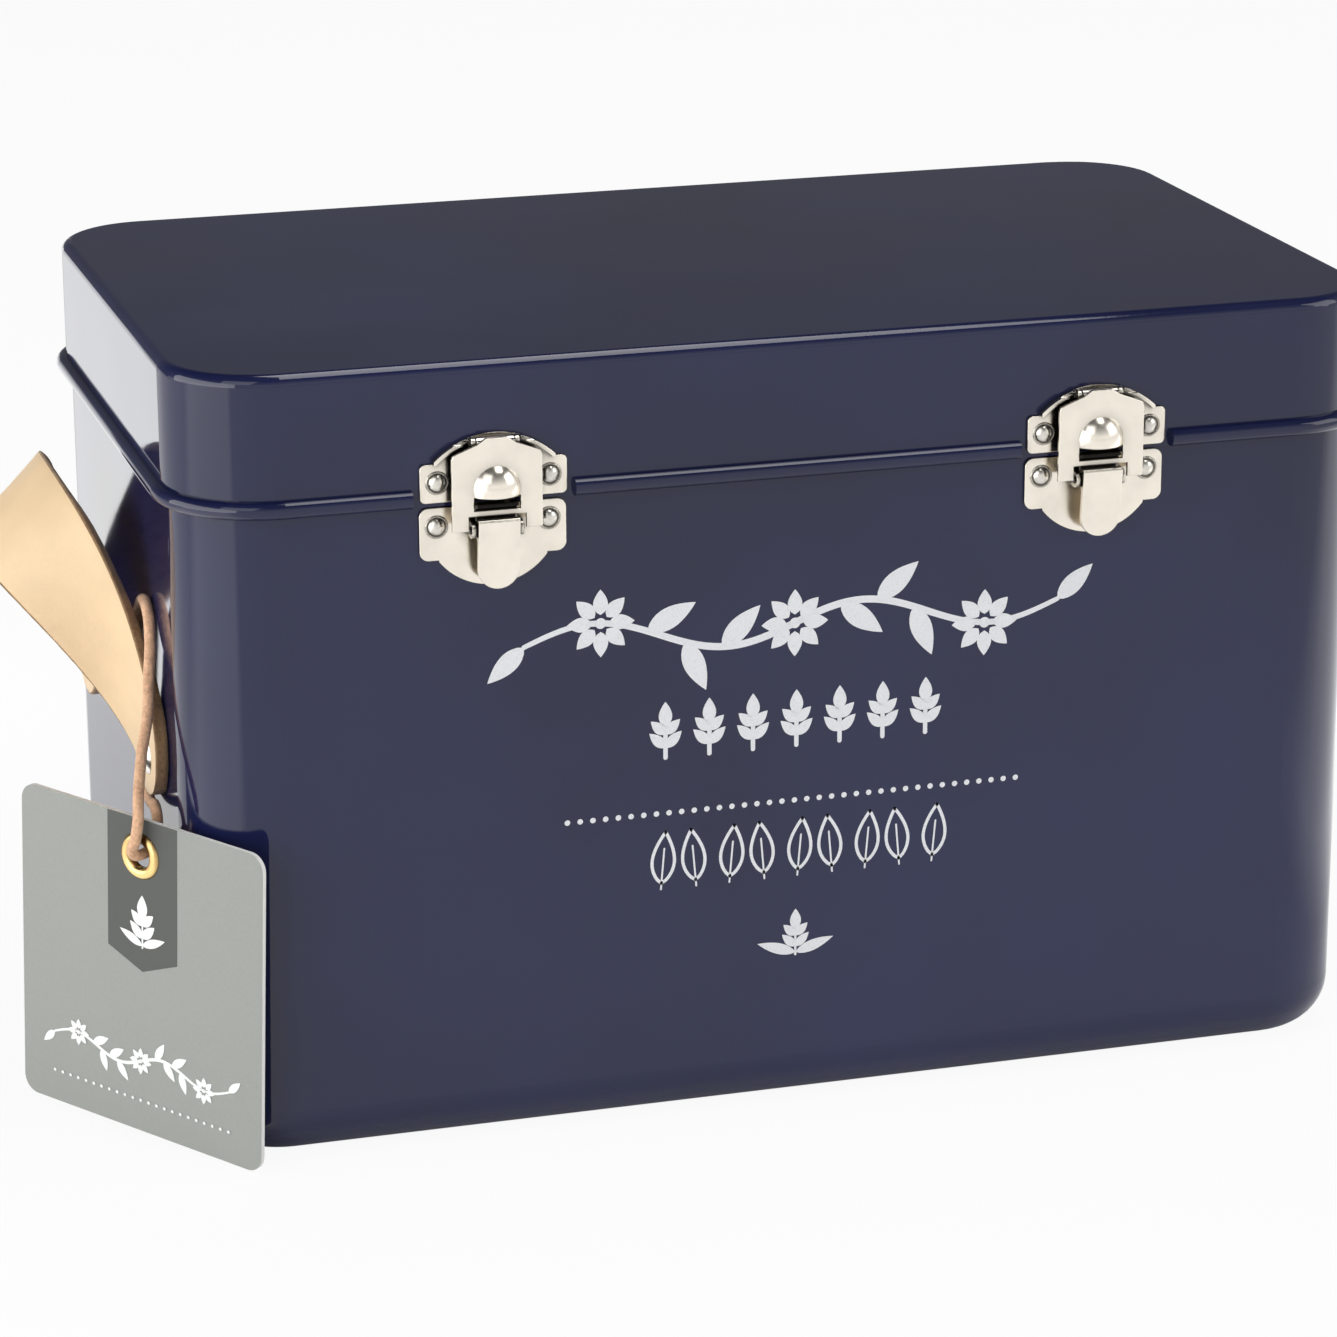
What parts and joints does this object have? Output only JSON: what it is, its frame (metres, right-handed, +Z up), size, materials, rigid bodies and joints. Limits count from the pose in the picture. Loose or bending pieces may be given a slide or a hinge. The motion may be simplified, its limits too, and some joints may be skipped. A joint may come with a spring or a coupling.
{
  "type": "garden seed organizer box",
  "caption": "Enamelled steel box for seed packets with a hinged lid, spring latches, leather strap handles, a partition, divider cards and a swing tag on a cord.",
  "frame": {"origin": "centre of the tin's footprint, on the surface that it stands on", "axes": "+X to the right along the front, +Y from the front to the back, +Z up"},
  "size_m": [0.346, 0.1741, 0.18],
  "materials": {
    "enamel": "gloss",
    "inner_sheet": "satin",
    "card_stock": "matt",
    "leather": "satin",
    "suede": "matt",
    "tag_board": "matt",
    "eyelet_brass": "polished",
    "spring_steel": "satin",
    "stud_metal": "polished",
    "nickel": "polished"
  },
  "bodies": {
    "base": {"base_tin": "enamel", "hinge_left_lower_leaf": "nickel", "hinge_left_pin": "nickel", "hinge_right_lower_leaf": "nickel", "hinge_right_pin": "nickel", "hinge_base_rivets": "nickel", "latch_left_base_plate": "nickel", "latch_left_lever_pin": "nickel", "latch_right_base_plate": "nickel", "latch_right_lever_pin": "nickel", "latch_base_rivets": "nickel", "left_handle_strap": "leather", "right_handle_strap": "leather", "handle_studs": "stud_metal", "centre_partition": "inner_sheet", "divider_card_1": "card_stock", "divider_card_2": "card_stock", "divider_card_3": "card_stock", "divider_card_4": "card_stock", "divider_card_5": "card_stock", "divider_card_6": "card_stock", "divider_card_7": "card_stock", "divider_card_8": "card_stock", "divider_card_9": "card_stock", "divider_card_10": "card_stock", "divider_card_11": "card_stock", "divider_card_12": "card_stock", "tag_cord": "suede", "tag_knot": "suede"},
    "lid": {"lid": "enamel", "hinge_left_upper_leaf": "nickel", "hinge_right_upper_leaf": "nickel", "hinge_lid_rivets": "nickel", "latch_left_lid_plate": "nickel", "latch_left_hasp_pin": "nickel", "latch_right_lid_plate": "nickel", "latch_right_hasp_pin": "nickel", "latch_lid_rivets": "nickel"},
    "left_hasp": {"latch_left_hasp": "nickel"},
    "right_hasp": {"latch_right_hasp": "nickel"},
    "left_lever": {"latch_left_lever": "nickel", "latch_left_lever_spring": "spring_steel"},
    "right_lever": {"latch_right_lever": "nickel", "latch_right_lever_spring": "spring_steel"},
    "tag": {"tag_card": "tag_board", "tag_eyelet": "eyelet_brass"}
  },
  "joints": [
    {"name": "lid_hinge", "type": "hinge", "parent": "base", "child": "lid", "pos_m": [0, 0.0834, 0.1494], "axis": [-1, 0, 0], "range_deg": [0, 105]},
    {"name": "left_hasp_swing", "type": "hinge", "parent": "lid", "child": "left_hasp", "pos_m": [-0.0707, -0.0831, 0.1628], "axis": [-1, 0, 0], "range_deg": [0, 80]},
    {"name": "left_lever_press", "type": "hinge", "parent": "base", "child": "left_lever", "pos_m": [-0.0707, -0.0838, 0.1436], "axis": [-1, 0, 0], "range_deg": [0, 18], "stiffness_Nm_per_rad": 0.02, "springref_deg": -11.46},
    {"name": "right_hasp_swing", "type": "hinge", "parent": "lid", "child": "right_hasp", "pos_m": [0.0677, -0.0831, 0.1628], "axis": [-1, 0, 0], "range_deg": [0, 80]},
    {"name": "right_lever_press", "type": "hinge", "parent": "base", "child": "right_lever", "pos_m": [0.0677, -0.0838, 0.1436], "axis": [-1, 0, 0], "range_deg": [0, 18], "stiffness_Nm_per_rad": 0.02, "springref_deg": -11.46},
    {"name": "tag_turn", "type": "hinge", "parent": "base", "child": "tag", "pos_m": [-0.14611, -0.06001, 0.0688], "axis": [0, 0, -1], "range_deg": [-6, 20]}
  ]
}
